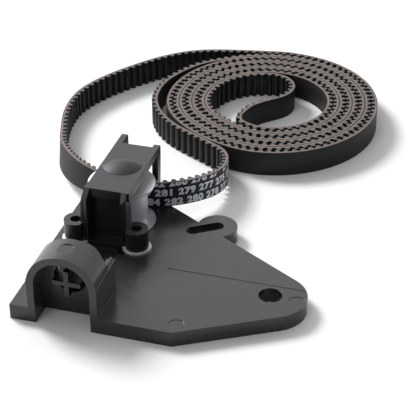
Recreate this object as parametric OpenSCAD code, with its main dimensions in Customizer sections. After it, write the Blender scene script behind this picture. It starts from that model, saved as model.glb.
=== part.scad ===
// Toothed drive belt laid in a double coil, with the sprung idler that tensions it.
// Units are millimetres. Z is up and the plate rests on Z = 0.
// The origin is the foot of the plate's fixing hole, on its axis.
// The idler carriage slides along Y, and its axle stands along Z.

/* [Belt] */
// Distance from tooth to tooth along the cord line
pitch = 5; // [3:0.5:8]
// Width of the belt
belt_w = 15; // [9:1:18]
// Rubber behind the tension cord
backing_t = 0.75; // [0.5:0.05:1.5]
// Thickness of the tension cord layer
cord_t = 0.45; // [0.3:0.05:1]
// Rubber and fabric between the cord and the tooth gaps
web_t = 0.34; // [0.2:0.02:1]
// Height of a tooth above the gaps
tooth_h = 2.06; // [1:0.02:3]
// Share of the pitch that a tooth covers at its root
tooth_root_share = 0.62; // [0.4:0.02:0.7]
// Share of the pitch that a tooth covers at its tip
tooth_tip_share = 0.4; // [0.2:0.02:0.5]

/* [Coil] */
// Radius of the outermost turn, measured at the smooth back
coil_r = 68; // [66:0.5:74]
// Whole turns of the double strand
coil_turns = 4; // [3:1:4]
// Gap between tooth tips that face each other
tip_gap = 0.3; // [0.2:0.05:0.5]
// Gap between two smooth backs
back_gap = 0.25; // [0.2:0.05:0.5]
// How far the turns are pressed in where the free run lies against them
dent = 2.8; // [2:0.1:3.2]
// Coil's left edge to the left of the pulley axle
coil_left = 22; // [21:0.5:24]
// Coil's front edge behind the belt's line at the pulley
coil_front = 57.4; // [57:0.2:60]
// How far the run's bend reaches to the right of the pulley axle
bend_reach = 42; // [41:0.2:43]
// How far the run's wide loop reaches to the left of the pulley axle
loop_reach = 69.8; // [68:0.2:71]
// Belt that rises or falls between the floor and the plate, each side
ramp_len = 74; // [60:1:90]
// Level belt on each side of the pulley
level_len = 22; // [18:1:30]
// How far the lower edge of the run leans out past the pulley
lean_max = 3.2; // [0:0.2:4]

/* [Mounting plate] */
// Height of the plate
plate_h = 8.3; // [7:0.1:11]
// Thickness of the plate's top
skin_t = 3; // [2:0.1:4]
// Thickness of the skirt and the ribs
wall_t = 2.4; // [1.6:0.1:3]
// Fixing hole to the left edge
plate_left = 122; // [118:1:126]
// Fixing hole to the front edge
plate_front = 43; // [41:1:48]
// Radius of the plate's corner around the fixing hole
corner_r = 18.6; // [16:0.2:20]
// Slant of the front right edge from X
front_slant = 29.5; // [27:0.5:31]
// Slant of the rear edge from X
rear_slant = 31.4; // [30:0.2:33]
// Radius of the plate's rear left tip
tip_r = 12; // [8:0.5:14]
// Radius of the fixing hole
hole_r = 6; // [4:0.1:8]
// Radius of the rounded ear on the rear edge
ear_r = 10.7; // [9:0.1:12]
// Ear slot end nearest the ear's tip, left of the fixing hole
slot_x = 42.5; // [40:0.5:45]
// The same end, behind the fixing hole
slot_y = 53.5; // [51:0.5:55]
// Half the width of the ear slot
slot_r = 3.4; // [2.5:0.1:4.5]
// Distance between the slot's two end centres
slot_span = 14; // [8:0.5:18]
// Angle of the slot from X
slot_angle = 34; // [25:1:45]

/* [Spring arch] */
// Outer half width of the arch
arch_r = 18.2; // [17:0.1:19.5]
// Thickness of the arch's shell
arch_t = 3.8; // [2.5:0.1:5]
// Height of the arch's centre line
arch_z = 22.4; // [21:0.1:25]
// Depth of the arch's roof
arch_depth = 18; // [16:0.5:22]
// Front edge to the wall inside the arch
arch_wall_y = 13; // [11:0.5:14]
// Depth of the side walls behind the front edge
cheek_depth = 27.5; // [24:0.5:32]
// Height of the side walls
cheek_z = 25.6; // [20:0.2:28]
// Height of the spring's centre line
plunger_z = 21; // [20:0.2:22]
// Radius of the opening that the carriage's tail moves through
plunger_hole_r = 8.6; // [8:0.1:9]

/* [Carriage] */
// Pulley axle to the left of the fixing hole
axle_left = 94; // [92:0.5:96]
// Pulley axle behind the fixing hole
axle_y = 47.4; // [46:0.1:50]
// Height of the carriage's flat top
top_z = 40; // [39:0.5:44]
// Half the width of the carriage
car_half_w = 11.7; // [11:0.1:13]
// Upper arm's thickness at the front
arm_front_t = 5.2; // [4.8:0.1:6]
// Upper arm's thickness at the rear
arm_rear_t = 3.4; // [2.4:0.1:5]
// How far the spring can be pressed in
travel = 4; // [2:0.5:4.5]
// Half the distance between the two guide bosses
boss_dx = 16.7; // [16.3:0.1:18]
// Pulley axle to the front edge of the plate's window
window_reach = 33.4; // [31:0.2:34]
// Pulley axle to the guide bosses, towards the front
boss_back = 25.8; // [25:0.1:27]
// Radius of a guide boss
boss_r = 6.4; // [5:0.1:7]
// Height of a guide boss
boss_h = 11; // [8:0.5:14]
// Radius of the bore in the top of a boss
boss_bore_r = 2.9; // [2.4:0.1:3.5]
// Radius of a guide washer
washer_r = 7.6; // [6.5:0.1:8]
// Thickness of a guide washer
washer_t = 1.1; // [0.8:0.1:1.6]

/* [Pulley] */
// Radius of the drum that the belt runs on
drum_r = 13.8; // [12.5:0.1:15]
// Length of the drum between the flanges
drum_len = 22.4; // [20:0.2:24]
// Radius of the flanges
flange_r = 18; // [17:0.1:18.6]
// Thickness of a flange
flange_t = 1.2; // [0.8:0.1:1.6]
// Height of the lower flange above the floor
flange_z = 6.2; // [6:0.1:7]
// Radius of the axle
axle_r = 3; // [2.5:0.1:3.5]
// Outer radius of a ball bearing
bearing_r = 9.5; // [9:0.1:10.5]
// Width of a ball bearing
bearing_w = 6; // [5:0.5:7]

/* [Hidden] */
$fn = 64;
cut = 1;
seat_gap = 0.3;
slide_gap = 0.1;
fit_gap = 0.02;
side_gap = 0.8;

// Places that several pieces share
left_x = -plate_left;
front_y = -plate_front;
axle_x = -axle_left;
boss_y = axle_y - boss_back;
boss_sides = [-1, 1];
bearing_gap = 0.4;
drum_z = flange_z + flange_t;
drum_top_z = drum_z + drum_len;

// Offsets from the cord's centre line, positive towards the teeth
back_side = -backing_t - cord_t / 2;
backing_side = -cord_t / 2;
cord_side = cord_t / 2;
root_side = cord_side + web_t;
tooth_side = root_side + tooth_h;
belt_t = tooth_side - back_side;
// Where the cord line passes behind the drum
contact_y = axle_y + drum_r + seat_gap - back_side;

black_plastic = [0.07, 0.07, 0.075];
belt_rubber = [0.1, 0.1, 0.1];
cord_copper = [0.72, 0.5, 0.42];
chrome = [0.85, 0.86, 0.88];
steel = [0.7, 0.71, 0.73];
brass = [0.75, 0.6, 0.3];

// ---------------------------------------------------------------- mounting plate

// Unit normals of the two slanted edges
front_normal = [sin(front_slant), -cos(front_slant)];
rear_normal = [sin(rear_slant), cos(rear_slant)];

// Points of the plate's outline, moved inwards by inset
function front_corner(inset) =
    let (y = front_y + inset)
    [(corner_r - inset - front_normal.y * y) / front_normal.x, y];
function rear_corner(inset) =
    let (x = left_x + inset)
    [x, (corner_r - inset - rear_normal.x * x) / rear_normal.y];

module plate_outline(inset = 0) {
    polygon([
        [left_x + inset, front_y + inset],
        front_corner(inset),
        front_normal * (corner_r - inset),
        [0, 0],
        rear_normal * (corner_r - inset),
        rear_corner(tip_r) + rear_normal * (tip_r - inset),
        rear_corner(tip_r) - [tip_r - inset, 0]
    ]);
    circle(r = corner_r - inset);
    translate(rear_corner(tip_r)) circle(r = tip_r - inset);
    translate([-slot_x, slot_y]) circle(r = ear_r - inset);
}

// The ear slot's outline, grown by margin
module ear_slot_outline(margin = 0) {
    r = slot_r + margin;
    translate([-slot_x, slot_y]) rotate(slot_angle) {
        circle(r = r);
        translate([-slot_span, 0]) circle(r = r);
        translate([-slot_span, -r]) square([slot_span, 2 * r]);
    }
}

// The window that the carriage and the lower flange sit in, grown by margin.
// cross_r is half the width of the carriage's tail.
cross_r = 7.4;
window_neck = car_half_w + 0.7;
tail_slot = cross_r + 0.7;
tail_slot_front = front_y + arch_wall_y + wall_t + 4;
module window_outline(margin = 0) {
    r = flange_r + side_gap + margin;
    neck = window_neck + margin;
    neck_front = axle_y - window_reach - margin;
    translate([axle_x, axle_y]) circle(r = r);
    translate([axle_x, axle_y - travel]) circle(r = r);
    translate([axle_x - r, axle_y - travel]) square([2 * r, travel]);
    translate([axle_x - neck, neck_front]) square([2 * neck, axle_y - neck_front]);
    // slot that the carriage's tail slides in
    translate([axle_x - tail_slot - margin, tail_slot_front - margin])
        square([2 * (tail_slot + margin), axle_y - tail_slot_front]);
}

// Slot in the plate's top that a guide sleeve slides in
module guide_slot_outline(margin = 0) {
    r = sleeve_r + 2 * slide_gap + margin;
    translate([0, -travel]) circle(r = r);
    circle(r = r);
    translate([-r, -travel]) square([2 * r, travel]);
}

// Everything in the underside that is kept at full height
module underside_keep() {
    window_outline(wall_t);
    circle(r = hole_r + wall_t + 1);
    ear_slot_outline(wall_t);
    translate([axle_x - arch_r, front_y]) square([2 * arch_r, cheek_depth]);
    rib_y = [-22, 8, 36];
    for (y = rib_y) translate([left_x, y - wall_t / 2]) square([2 * plate_left, wall_t]);
    rib_x = [-62, -36];
    for (x = rib_x) translate([x - wall_t / 2, front_y]) square([wall_t, 3 * plate_front]);
}

// The underside round the guide screws is kept free for their heads
module screw_room_outline() {
    for (side = boss_sides)
        translate([axle_x + side * boss_dx, boss_y]) {
            translate([0, -travel]) circle(r = screw_room_r);
            circle(r = screw_room_r);
            translate([-screw_room_r, -travel]) square([2 * screw_room_r, travel]);
        }
}

// Arch section across the slide, with the axle's X as its centre
module arch_section(r, bottom) {
    translate([0, arch_z]) circle(r = r);
    translate([-r, bottom]) square([2 * r, arch_z - bottom]);
}

// Stands a section drawn in X and Z up along Y, from y0 to y1
module along_slide(y0, y1) {
    translate([axle_x, y1, 0]) rotate([90, 0, 0]) linear_extrude(y1 - y0) children();
}

stop_len = 7.8;
stop_r = 0.9;
module mounting_plate() {
    color(black_plastic) difference() {
        union() {
            linear_extrude(plate_h) plate_outline();
            // arch over the spring, and the side walls that run on behind it
            along_slide(front_y, front_y + arch_depth) arch_section(arch_r, 0);
            along_slide(front_y, front_y + cheek_depth)
                translate([-arch_r, 0]) square([2 * arch_r, cheek_z]);
            // slim stop bar along the top of the right side wall
            along_slide(front_y + cheek_depth - stop_len, front_y + cheek_depth)
                translate([arch_r - arch_t / 2, cheek_z + stop_r / 2]) {
                    circle(r = stop_r);
                    translate([-stop_r, -stop_r - cut]) square([2 * stop_r, stop_r + cut]);
                }
        }
        // pockets of the underside
        translate([0, 0, -cut]) linear_extrude(plate_h - skin_t + cut) difference() {
            plate_outline(wall_t);
            underside_keep();
        }
        translate([0, 0, -cut]) linear_extrude(plate_h - skin_t + cut) screw_room_outline();
        // window, fixing hole, ear slot and guide slots
        translate([0, 0, -cut]) linear_extrude(plate_h + 2 * cut) {
            window_outline();
            ear_slot_outline();
            for (side = boss_sides)
                translate([axle_x + side * boss_dx, boss_y]) guide_slot_outline();
        }
        translate([0, 0, -cut]) cylinder(r = hole_r, h = plate_h + 2 * cut);
        // hollow in front of the inner wall, and the one behind it for the spring
        along_slide(front_y - cut, front_y + arch_wall_y) arch_section(arch_r - arch_t, -cut);
        along_slide(front_y + arch_wall_y + wall_t, front_y + cheek_depth + cut)
            arch_section(arch_r - arch_t, skin_t);
        along_slide(front_y, front_y + arch_depth)
            translate([0, plunger_z]) circle(r = plunger_hole_r);
        // marks that the mould leaves in the top
        mould_marks();
    }
}

// Shallow ejector marks and the witness line across the plate's right half
mark_depth = 0.2;
module mould_marks() {
    marks = [[14, -2, 4.6], [-69, -7, 2.2], [-38, -36, 4]];
    for (mark = marks)
        translate([mark.x, mark.y, plate_h - mark_depth]) cylinder(r = mark.z, h = cut);
    translate([-slot_x - 14, 8, plate_h - mark_depth]) cube([slot_x + 14 + corner_r, 0.5, cut]);
    // flat on the crown of the arch
    translate([axle_x, front_y + arch_depth / 2, arch_z + arch_r - 2 * mark_depth])
        cylinder(r = 4.5, h = cut);
}

// ---------------------------------------------------------------- carriage

// Sizes of the carriage's walls, from the axle forwards
pillar_w = 4;
pillar_front = axle_y - 28.4;
wall_y = axle_y - flange_r - 3.8;
carriage_wall_t = 3;
mid_front = pillar_front + 3.9;
pillar_drop = 4.4;
arm_rear = axle_y + 24.6;
foot_half_w = car_half_w - 1.2;
foot_z = 2.6;
foot_t = 2.8;
hub_r = 4.4;
ledge_z = plate_h + 1.7;
// The arm reaches further over the right pillar, and the left shoulder is the wider one
right_lip = 1.1;
left_inset = 0.5;
shoulder = 2.4;
post_front = contact_y + tooth_side + travel + 1.5;
post_z = plate_h + 3.4;
// The dome is what two flat balls share: one over the axle, and one in front of it
dome_r = 10.7;
dome_h = 2.6;
dome_front_r = 11.6;
dome_front_h = 3;
dome_back = 2.3;
dome_shift = 5.2;
dome_turn = 16;
washer_z = plate_h + slide_gap;
boss_z = washer_z + washer_t;
sleeve_r = 2.9;
screw_r = 2;
screw_head_r = 3.6;
screw_head_h = 2;
lower_washer_t = 0.8;
lower_washer_r = 5;
screw_room_r = lower_washer_r + 0.6;
pilot_depth = 5.5;

// Side view of the upper arm, in Y and Z, drawn from front to rear
module arm_side() {
    polygon([
        [mid_front, top_z],
        [mid_front, top_z - arm_front_t],
        [axle_y, top_z - arm_front_t],
        [arm_rear, top_z - arm_rear_t],
        [arm_rear, top_z]
    ]);
}

// Extrudes a side view drawn in Y and Z across the slide, centred on the axle
module across_slide(half_w) {
    translate([axle_x - half_w, 0, 0]) rotate([90, 0, 90]) linear_extrude(2 * half_w) children();
}

// One front pillar with its chamfered outer edge, seen from above
module pillar_outline() {
    chamfer = 1.6;
    back = wall_y + carriage_wall_t;
    polygon([
        [car_half_w - pillar_w + 1.4, pillar_front],
        [car_half_w - chamfer, pillar_front],
        [car_half_w, pillar_front + chamfer],
        [car_half_w, back],
        [car_half_w - pillar_w, back]
    ]);
}

module guide_boss() {
    flat_x = car_half_w - boss_dx + 0.6;
    difference() {
        cylinder(r = boss_r, h = boss_h);
        // flat on the side of the front pocket
        translate([flat_x - boss_r, pillar_front - boss_y - boss_r, -cut])
            cube([boss_r, boss_r, boss_h + 2 * cut]);
        translate([0, 0, pilot_depth]) cylinder(r = boss_bore_r, h = boss_h);
        translate([0, 0, -cut]) cylinder(r = screw_r + fit_gap, h = boss_h + 2 * cut);
    }
}

// Keeps the belt behind the drum: a post that hangs from a finger level with the arm's top.
// x0 is its left side, w its width and reach its length behind the arm.
module keeper_post(x0, w, reach) {
    nose_r = 1.2;
    post_t = 4;
    finger_t = 6;
    rear = arm_rear + reach;
    translate([axle_x + x0, 0, 0]) rotate([90, 0, 90]) linear_extrude(w) {
        polygon([
            [post_front, post_z],
            [post_front + post_t, post_z],
            [rear, top_z - finger_t],
            [rear, top_z - nose_r],
            [rear - nose_r, top_z - nose_r],
            [rear - nose_r, top_z],
            [arm_rear - 4, top_z],
            [arm_rear - 4, top_z - cut],
            [post_front, top_z - cut]
        ]);
        translate([rear - nose_r, top_z - nose_r]) circle(r = nose_r);
    }
}

module dome_ball(base_r, h) {
    r = (base_r * base_r + h * h) / (2 * h);
    translate([0, 0, h - r]) sphere(r = r);
}

// The left shoulder in X and Z, from the axle: wide at the foot, narrower towards the arm's top
module shoulder_section() {
    wide = car_half_w + shoulder;
    polygon([
        [-wide, boss_z],
        [-car_half_w + cut, boss_z],
        [-car_half_w + cut, top_z],
        [-car_half_w + left_inset, top_z],
        [-car_half_w - shoulder / 2, top_z - 7]
    ]);
}

module carriage() {
    color(black_plastic) difference() {
        union() {
            translate([axle_x - car_half_w + left_inset, 0, 0]) rotate([90, 0, 90])
                linear_extrude(2 * car_half_w - left_inset + right_lip) arm_side();
            along_slide(pillar_front + 1, wall_y + carriage_wall_t) shoulder_section();
            // front wall, narrower where it goes down through the plate
            translate([axle_x - car_half_w, wall_y, boss_z])
                cube([2 * car_half_w, carriage_wall_t, top_z - boss_z - cut]);
            translate([axle_x - foot_half_w, wall_y, foot_z])
                cube([2 * foot_half_w, carriage_wall_t, top_z / 2]);
            // ledge at the foot of the front pocket, which goes down through the window
            translate([axle_x - foot_half_w, pillar_front, foot_z])
                cube([2 * foot_half_w, wall_y - pillar_front + cut, ledge_z - foot_z]);
            for (side = boss_sides) {
                translate([axle_x, 0, boss_z]) scale_x(side)
                    linear_extrude(top_z - boss_z) pillar_outline();
                translate([axle_x, boss_y, boss_z]) scale_x(side)
                    translate([boss_dx, 0, 0]) guide_boss();
            }
            // foot under the pulley, with the lower hub
            translate([axle_x - foot_half_w, wall_y, foot_z])
                cube([2 * foot_half_w, axle_y - wall_y, foot_t]);
            translate([axle_x, axle_y, foot_z]) cylinder(r = foot_half_w, h = foot_t);
            translate([axle_x, axle_y, foot_z]) cylinder(r = hub_r, h = drum_z - foot_z);
            // upper hub, and the dome over the axle's end
            translate([axle_x, axle_y, drum_top_z])
                cylinder(r = hub_r, h = top_z - drum_top_z - arm_rear_t);
            translate([axle_x, axle_y + dome_back, top_z]) rotate(dome_turn) intersection() {
                dome_ball(dome_r, dome_h);
                translate([0, -dome_shift, 0]) dome_ball(dome_front_r, dome_front_h);
                translate([0, 0, -cut]) cylinder(r = dome_r + cut, h = 2 * dome_front_h);
            }
            keeper_post(-car_half_w + left_inset, 3.3, 10.4);
            keeper_post(car_half_w + right_lip - 3.3, 3.3, 4);
            tail();
        }
        // slanted tops of the pillars
        across_slide(car_half_w + shoulder) polygon([
            [pillar_front - cut, top_z - pillar_drop - cut * pillar_drop / (mid_front - pillar_front)],
            [mid_front, top_z],
            [mid_front, top_z + cut],
            [pillar_front - cut, top_z + cut]
        ]);
        // room for the guide washers beside the foot
        at_bosses(foot_z) cylinder(r = washer_r + slide_gap, h = boss_z - foot_z);
        // blind bore for the axle, open below
        translate([axle_x, axle_y, foot_z - cut])
            cylinder(r = axle_r + fit_gap, h = axle_top_z - foot_z + cut);
    }
}

// Mirrors in X for the left side
module scale_x(side) {
    if (side < 0) mirror([1, 0, 0]) children();
    else children();
}

// ---------------------------------------------------------------- spring and plunger

cross_bar_t = 2.5;
tail_front = front_y + 7;
collar_r = 11;
collar_t = 2;
spring_front = front_y + arch_wall_y + wall_t + slide_gap;
spring_len = 12;
spring_wire_r = 0.8;
spring_mean_r = plunger_hole_r + spring_wire_r + 0.4;
spring_turns = 4;
strap_z = foot_z + 1.6;
strap_t = 2.4;

// The carriage's tail: a cross-shaped bar in the spring, a collar, and a low strap with a rib
module tail() {
    collar_y = spring_front + spring_len + slide_gap;
    strap_front = collar_y + collar_t - cut;
    ledge_front = pillar_front;
    along_slide(tail_front, collar_y + cut)
        translate([0, plunger_z])
            for (turn = [0, 90])
                rotate(turn)
                    translate([-cross_r, -cross_bar_t / 2])
                        square([2 * cross_r, cross_bar_t]);
    along_slide(collar_y, collar_y + collar_t) {
        translate([0, plunger_z]) circle(r = collar_r);
        translate([-cross_r, strap_z]) square([2 * cross_r, plunger_z - strap_z]);
    }
    translate([axle_x - cross_r, strap_front, strap_z])
        cube([2 * cross_r, ledge_front + cut - strap_front, strap_t]);
    across_slide(cross_bar_t / 2) polygon([
        [strap_front, strap_z],
        [strap_front, plunger_z + 4],
        [strap_front + 12, strap_z + strap_t + 3],
        [ledge_front - 4, strap_z + strap_t],
        [ledge_front - 4, strap_z]
    ]);
}

// Round wire swept along a helix; each ring is a regular polygon
function helix_point(t) =
    let (a = 360 * spring_turns * t)
    [spring_mean_r * cos(a), spring_wire_r + (spring_len - 2 * spring_wire_r) * helix_rise(t),
     spring_mean_r * sin(a)];
// The end turns lie flat and the middle turns climb evenly
function helix_rise(t) =
    let (flat = 0.9 / spring_turns)
    min(1, max(0, (t - flat) / (1 - 2 * flat)));
module tension_spring() {
    sides = 8;
    rings = 18 * spring_turns;
    points = [
        for (i = [0 : rings])
            let (t = i / rings, a = 360 * spring_turns * t, centre = helix_point(t))
            for (j = [0 : sides - 1])
                let (b = 360 * j / sides, out = spring_wire_r * cos(b))
                [centre.x + out * cos(a), centre.y + spring_wire_r * sin(b), centre.z + out * sin(a)]
    ];
    skin = [
        for (i = [0 : rings - 1], j = [0 : sides - 1])
            let (k = (j + 1) % sides)
            [i * sides + j, i * sides + k, (i + 1) * sides + k, (i + 1) * sides + j]
    ];
    first_cap = [[for (j = [sides - 1 : -1 : 0]) j]];
    last_cap = [[for (j = [0 : sides - 1]) rings * sides + j]];
    color(steel) translate([axle_x, spring_front, plunger_z])
        polyhedron(points = points, faces = concat(skin, first_cap, last_cap));
}

// ---------------------------------------------------------------- guides

module at_bosses(z) {
    for (side = boss_sides) translate([axle_x + side * boss_dx, boss_y, z]) children();
}

module tube(outer_r, inner_r, h) {
    difference() {
        cylinder(r = outer_r, h = h);
        translate([0, 0, -cut]) cylinder(r = inner_r, h = h + 2 * cut);
    }
}

module guide_washers() {
    color(chrome) at_bosses(washer_z) tube(washer_r, screw_r + fit_gap, washer_t);
}

// Sleeve, lower washer and screw, from the plate's top down
sleeve_len = skin_t + 2 * slide_gap;
module guide_sleeves() {
    color(steel) at_bosses(washer_z - sleeve_len) tube(sleeve_r, screw_r + fit_gap, sleeve_len);
}
module lower_washers() {
    color(steel) at_bosses(washer_z - sleeve_len - lower_washer_t)
        tube(lower_washer_r, screw_r + fit_gap, lower_washer_t);
}
module guide_screws() {
    head_z = washer_z - sleeve_len - lower_washer_t - screw_head_h;
    color(steel) at_bosses(head_z) difference() {
        union() {
            cylinder(r = screw_head_r, h = screw_head_h);
            cylinder(r = screw_r, h = boss_z + pilot_depth - head_z);
        }
        translate([0, 0, -cut]) cylinder(r = 1.4, h = screw_head_h / 2 + cut, $fn = 6);
    }
}

// ---------------------------------------------------------------- pulley

axle_top_z = top_z - arm_rear_t;
axle_foot_z = foot_z - 1.5;
clip_t = 0.8;

module at_axle(z) {
    translate([axle_x, axle_y, z]) children();
}

module axle_pin() {
    groove_z = foot_z - clip_t - slide_gap;
    color(steel) difference() {
        at_axle(axle_foot_z) cylinder(r = axle_r, h = axle_top_z - slide_gap - axle_foot_z);
        at_axle(groove_z) tube(axle_r + cut, axle_r - 0.6, clip_t);
    }
}

module axle_clip() {
    color(steel) at_axle(foot_z - clip_t - slide_gap) difference() {
        tube(axle_r + 2, axle_r - 0.6 + fit_gap, clip_t);
        translate([-1.2, 0, -cut]) cube([2.4, axle_r + 3, clip_t + 2 * cut]);
    }
}

module pulley_drum() {
    color(chrome) at_axle(drum_z) difference() {
        cylinder(r = drum_r, h = drum_len);
        translate([0, 0, -cut]) cylinder(r = bearing_r - 1.2, h = drum_len + 2 * cut);
        for (z = [-cut, drum_len - bearing_w])
            translate([0, 0, z]) cylinder(r = bearing_r + fit_gap, h = bearing_w + cut);
    }
}

module flange(z) {
    color(chrome) at_axle(z) tube(flange_r, bearing_r + 0.3, flange_t);
}
module upper_flange() { flange(drum_top_z); }
module lower_flange() { flange(flange_z); }

// Bearing parts share the radii of the balls' track
ring_t = 1.7;
ball_track_r = (axle_r + bearing_r) / 2;
inner_ring_r = axle_r + ring_t;
outer_ring_r = bearing_r - ring_t;
ball_r = (outer_ring_r - inner_ring_r) / 2 + 0.35;
ball_count = 7;
upper_bearing_z = drum_top_z - bearing_w;
groove_gap = 0.04;

module ball_groove() {
    translate([0, 0, bearing_w / 2]) rotate_extrude()
        translate([ball_track_r, 0]) circle(r = ball_r + groove_gap);
}
module outer_ring(z) {
    color(steel) at_axle(z) difference() {
        tube(bearing_r, outer_ring_r, bearing_w);
        ball_groove();
        for (seat_z = [-cut, bearing_w - shield_t])
            translate([0, 0, seat_z]) cylinder(r = shield_r + fit_gap, h = shield_t + cut);
    }
}
module inner_ring(z) {
    color(steel) at_axle(z) difference() {
        tube(inner_ring_r, axle_r + fit_gap, bearing_w);
        ball_groove();
    }
}
module balls(z) {
    color(chrome) at_axle(z + bearing_w / 2)
        for (i = [0 : ball_count - 1])
            rotate(360 * i / ball_count) translate([ball_track_r, 0, 0]) sphere(r = ball_r);
}
// Crown cage: a thin ring above the balls, with pockets that they sit in
module cage(z) {
    cage_t = 0.9;
    pocket_r = ball_r + slide_gap;
    low = 0.4;
    color(brass) at_axle(z + bearing_w / 2) difference() {
        translate([0, 0, low]) tube(ball_track_r + cage_t / 2, ball_track_r - cage_t / 2, pocket_r);
        for (i = [0 : ball_count - 1])
            rotate(360 * i / ball_count) translate([ball_track_r, 0, 0]) sphere(r = pocket_r);
    }
}
shield_t = 0.4;
shield_r = outer_ring_r + 0.5;
// Shields close the outer face of each bearing
module shield(z) {
    color(steel) at_axle(z) tube(shield_r, inner_ring_r + seat_gap, shield_t);
}
module upper_outer_ring() { outer_ring(upper_bearing_z); }
module lower_outer_ring() { outer_ring(drum_z); }
module upper_inner_ring() { inner_ring(upper_bearing_z); }
module lower_inner_ring() { inner_ring(drum_z); }
module upper_balls() { balls(upper_bearing_z); }
module lower_balls() { balls(drum_z); }
module upper_cage() { cage(upper_bearing_z); }
module lower_cage() { cage(drum_z); }
module upper_shield() { shield(drum_top_z - shield_t); }
module lower_shield() { shield(drum_z); }

module inner_spacer() {
    color(steel) at_axle(drum_z + bearing_w)
        tube(inner_ring_r, axle_r + fit_gap, drum_len - 2 * bearing_w);
}

// ---------------------------------------------------------------- belt route

// Radius lost per turn: two strands, tooth to tooth, then back to back
turn_step = 2 * belt_t + tip_gap + back_gap;
coil_x = axle_x - coil_left + coil_r;
coil_y = contact_y + coil_front + coil_r;
inward_offset = -back_side;
outward_offset = 2 * belt_t + tip_gap + back_side;

// The turns are flatter where the free run is pressed against them
dent_angle = 210;
dent_half_angle = 45;
function dent_at(angle) =
    let (away = abs((angle - dent_angle + 540) % 360 - 180))
    away < dent_half_angle ? dent * pow(cos(90 * away / dent_half_angle), 2) : 0;

// Point of the coil at a clockwise angle from +Y, at a depth below the outer strand's back
function coil_point(angle, depth) =
    let (r = coil_r - turn_step * angle / 360 - dent_at(angle) - depth)
    [coil_x + r * sin(angle), coil_y + r * cos(angle)];

coil_step = 12;
inward_start = -10;
inward_end = 360 * coil_turns - 24;
outward_start = 360 * (coil_turns - 1) + 176;
outward_end = -38;
inward_count = round((inward_end - inward_start) / coil_step);
outward_count = round((outward_start - outward_end) / coil_step);
inward_turns = [
    for (i = [0 : inward_count])
        coil_point(inward_start + (inward_end - inward_start) * i / inward_count, inward_offset)
];
outward_turns = [
    for (i = [0 : outward_count])
        coil_point(outward_start + (outward_end - outward_start) * i / outward_count, outward_offset)
];

// The belt turns back inside the coil: points as shares of the inner radius, from the coil centre
inner_r = coil_r - turn_step * coil_turns;
turn_back_shape = [
    [-0.15, 0.96], [0.05, 0.91], [0.2, 0.78], [0.28, 0.61], [0.28, 0.42], [0.2, 0.23], [0.05, 0.07],
    [-0.11, -0.09], [-0.23, -0.265], [-0.29, -0.45], [-0.315, -0.62], [-0.27, -0.765], [-0.145, -0.855]
];
turn_back = [for (p = turn_back_shape) [coil_x, coil_y] + inner_r * p];

// The free run beside the coil: a clockwise angle from +Y, and a distance out from the coil's edge
function beside_coil(place) =
    [coil_x, coil_y] + (coil_r + place[1]) * [sin(place[0]), cos(place[0])];
leaving_coil = [
    [-57.5, -2.8], [-80.2, 0], [-98.6, 1.2], [-115, -0.2], [-133.2, -3.5], [-156.7, -5.7], [-170.3, -1.2]
];
reaching_coil = [[-77.2, 29.4], [-60.9, 20.1], [-44.2, 10.9]];

// The free run near the pulley: shares of the bend's reach and of the wide loop's reach
contact = [axle_x, contact_y];
bend_shape = [
    [0.97, 1.155], [1, 0.833], [0.92, 0.524], [0.714, 0.233], [0.448, 0.052], [0.214, 0.005]
];
loop_shape = [
    [-0.158, 0.013], [-0.344, 0.074], [-0.56, 0.245], [-0.788, 0.553], [-0.911, 0.86],
    [-0.994, 1.175], [-1, 1.49], [-0.9, 1.785]
];
run_to_pulley = concat(
    [for (place = leaving_coil) beside_coil(place)],
    [for (p = bend_shape) contact + bend_reach * p]
);
run_from_pulley = concat(
    [for (p = loop_shape) contact + loop_reach * p],
    [for (place = reaching_coil) beside_coil(place)]
);

// The whole closed route, from the turn inside the coil outwards, round the pulley and back in
route_points = concat(turn_back, outward_turns, run_to_pulley, [contact], run_from_pulley, inward_turns);
route_count = len(route_points);
contact_index = len(turn_back) + len(outward_turns) + len(run_to_pulley);

// Smooth curve through the route's points (Catmull-Rom)
function smooth(p0, p1, p2, p3, t) =
    0.5 * (2 * p1 + (p2 - p0) * t + (2 * p0 - 5 * p1 + 4 * p2 - p3) * t * t
    + (3 * p1 - p0 - 3 * p2 + p3) * t * t * t);
fine = 8;
curve = [
    for (i = [0 : route_count - 1], j = [0 : fine - 1])
        smooth(
            route_points[(i + route_count - 1) % route_count], route_points[i],
            route_points[(i + 1) % route_count], route_points[(i + 2) % route_count], j / fine
        )
];
curve_count = len(curve);

// Length along the curve at each of its points
steps = [for (i = [0 : curve_count - 1]) norm(curve[(i + 1) % curve_count] - curve[i])];
lengths = [for (i = 0, total = 0; i <= curve_count; total = total + (i < curve_count ? steps[i] : 0),
    i = i + 1) total];
route_len = lengths[curve_count];
contact_s = lengths[contact_index * fine];
table_x = [for (i = [0 : curve_count]) [lengths[i], curve[i % curve_count].x]];
table_y = [for (i = [0 : curve_count]) [lengths[i], curve[i % curve_count].y]];

// One joint of the belt's outline per tooth
tooth_count = round(route_len / pitch);
tooth_len = route_len / tooth_count;
joints = [
    for (k = [0 : tooth_count - 1])
        [lookup(k * tooth_len, table_x), lookup(k * tooth_len, table_y)]
];
function joint(k) = joints[(k + tooth_count) % tooth_count];
function unit(v) = v / norm(v);
// Normals point to the teeth, on the right of the way the route runs
normals = [
    for (k = [0 : tooth_count - 1])
        let (along = unit(joint(k + 1) - joint(k - 1)))
        [along.y, -along.x]
];
function normal(k) = normals[(k + tooth_count) % tooth_count];

// Height of the belt's lower edge: level at the pulley, down to the floor on both sides
lift = plate_h + seat_gap;
function ease(t) = t * t * (3 - 2 * t);
function height(k) =
    let (away = abs(k * tooth_len - contact_s) - level_len)
    lift * ease(min(1, max(0, 1 - away / ramp_len)));
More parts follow.
